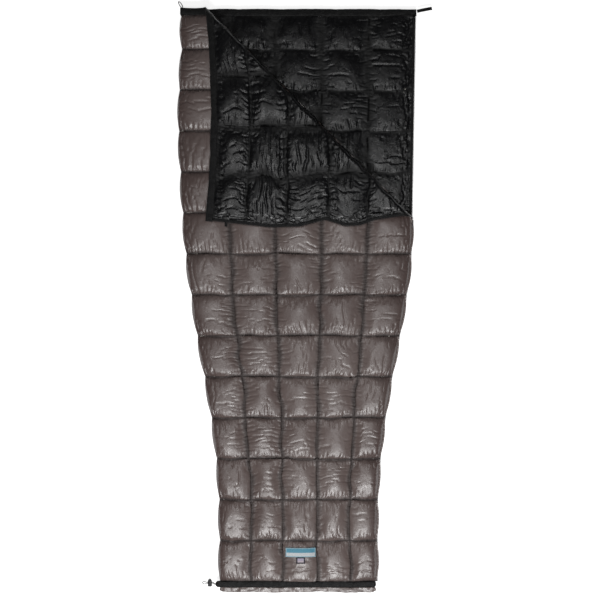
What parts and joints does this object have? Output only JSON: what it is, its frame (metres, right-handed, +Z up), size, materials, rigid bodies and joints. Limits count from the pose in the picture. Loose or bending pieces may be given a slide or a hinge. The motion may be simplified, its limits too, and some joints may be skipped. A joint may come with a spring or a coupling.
{
  "type": "camp quilt",
  "caption": "Box-quilted down camp quilt with a full side zip and a foot drawcord, lying flat with the head corner of its front panel folded back",
  "frame": {"origin": "on the ground under the middle of a quilted cell near the quilt's middle", "axes": "+Z up from the ground, +Y towards the head along the quilt's length, +X towards the zip side"},
  "size_m": [0.8469, 1.9555, 0.0752],
  "materials": {
    "shell": "light satin nylon",
    "lining": "glossy downproof nylon",
    "down": "loose down",
    "trim": "matte webbing and tape",
    "coil": "nylon coil",
    "metal": "dull cast metal",
    "plastic": "moulded",
    "spring": "wire",
    "cord": "braided cord",
    "label": "woven, plain",
    "tag": "woven, plain"
  },
  "bodies": {
    "back": {"back_shell": "shell", "back_down": "down", "back_lining": "lining", "back_head_hem": "trim", "back_foot_channel": "trim", "back_foot_edge": "shell", "side_seam": "trim", "back_zip_tape": "trim", "back_zip_coil": "coil", "back_head_stop": "metal", "zip_foot_stop": "metal", "corner_loop": "trim", "corner_strap": "trim", "foot_drawcord": "cord"},
    "front": {"front_shell": "shell", "front_down": "down", "front_lining": "lining", "front_head_hem": "trim", "front_foot_channel": "trim", "front_foot_edge": "shell", "front_zip_tape": "trim", "front_zip_coil": "coil", "woven_label": "label", "small_tag": "tag"},
    "flap": {"flap_shell": "shell", "flap_down": "down", "flap_lining": "lining", "flap_head_hem": "trim", "flap_zip_tape": "trim", "flap_zip_coil": "coil", "flap_head_stop": "metal", "flap_tab": "trim"},
    "slider": {"zip_slider": "metal"},
    "pull": {"zip_pull": "metal"},
    "lock": {"lock_barrel": "plastic", "lock_spring": "spring"},
    "button": {"lock_button": "plastic"}
  },
  "joints": [
    {"name": "front_open", "type": "hinge", "parent": "back", "child": "front", "pos_m": [-0.3677, 0, 0.025], "axis": [0.0664, -0.9978, 0], "range_deg": [0, 170], "deforming": ["side_seam", "foot_drawcord"]},
    {"name": "flap_turn", "type": "hinge", "parent": "front", "child": "flap", "pos_m": [-0.306, 1.01518, 0.0502], "axis": [-0.7018, 0.7124, 0], "range_deg": [0, 178]},
    {"name": "zip_slide", "type": "slide", "parent": "back", "child": "slider", "axis": [0.0177, 0.9998, 0], "range_m": [-0.05, 0.6]},
    {"name": "pull_turn", "type": "hinge", "parent": "slider", "child": "pull", "pos_m": [0.37635, 0.30719, 0.03035], "axis": [-0.9998, 0.0177, 0], "range_deg": [0, 165]},
    {"name": "lock_slide", "type": "slide", "parent": "back", "child": "lock", "axis": [1, 0, 0], "range_m": [-0.012, 0.012], "deforming": ["foot_drawcord"]},
    {"name": "lock_press", "type": "slide", "parent": "lock", "child": "button", "axis": [0, -1, 0], "range_m": [0, 0.004], "stiffness_N_per_m": 700, "springref_m": -0.005, "deforming": ["lock_spring"]}
  ]
}
